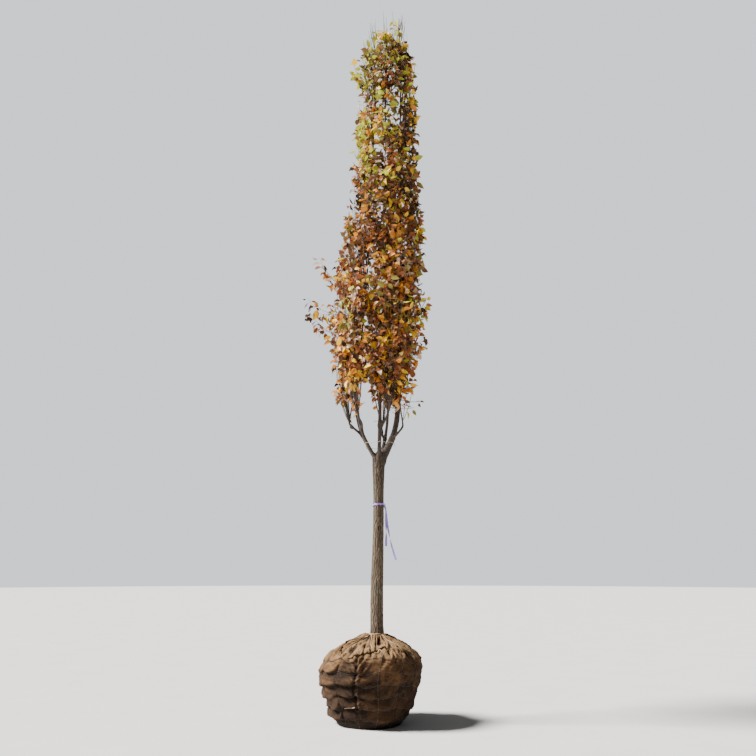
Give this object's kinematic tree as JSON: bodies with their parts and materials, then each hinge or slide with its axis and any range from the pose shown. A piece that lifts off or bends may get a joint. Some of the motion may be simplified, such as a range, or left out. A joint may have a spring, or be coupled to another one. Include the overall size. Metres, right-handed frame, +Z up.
{
  "type": "sapling with root ball",
  "caption": "Young fastigiate shade tree in autumn leaf, boughs drawn up, dug with a burlap-wrapped root ball in a wire basket.",
  "frame": {"origin": "centre of the root ball's flat underside, on the ground", "axes": "+Z up along the trunk; -Y towards the front, the side that shows in the picture; +X to the viewer's right"},
  "size_m": [1.6307, 1.5215, 8.21],
  "materials": {
    "burlap": "coarse woven jute, soil-stained",
    "trunk_bark": "grey-brown bark with fine flaking ridges",
    "bough_bark": "dark smooth young bark",
    "low_leaves": "matt leaf, orange, rust and gold",
    "mid_leaves": "matt leaf, rust and brown",
    "top_leaves": "matt leaf, brown, gold and yellow-green"
  },
  "bodies": {
    "root": {"root_ball": "burlap", "trunk": "trunk_bark", "bough_right": "bough_bark", "bough_back": "bough_bark", "bough_left": "bough_bark", "bough_front_left": "bough_bark", "bough_front": "bough_bark", "limb_low_right": "bough_bark", "limb_low_back": "bough_bark", "limb_low_left": "bough_bark", "limb_low_front_left": "bough_bark", "limb_low_front": "bough_bark", "limb_mid_right": "bough_bark", "limb_top_left": "bough_bark", "limb_top_front": "bough_bark", "foliage_low_right": "low_leaves", "foliage_low_back": "low_leaves", "foliage_low_left": "low_leaves", "foliage_low_front_left": "low_leaves", "foliage_low_front": "low_leaves", "foliage_mid_right": "mid_leaves", "foliage_mid_back": "mid_leaves", "foliage_mid_left": "mid_leaves", "foliage_mid_front_left": "mid_leaves", "foliage_mid_front": "mid_leaves", "foliage_top_right": "top_leaves", "foliage_top_left": "top_leaves", "foliage_top_front": "top_leaves"}
  },
  "joints": []
}
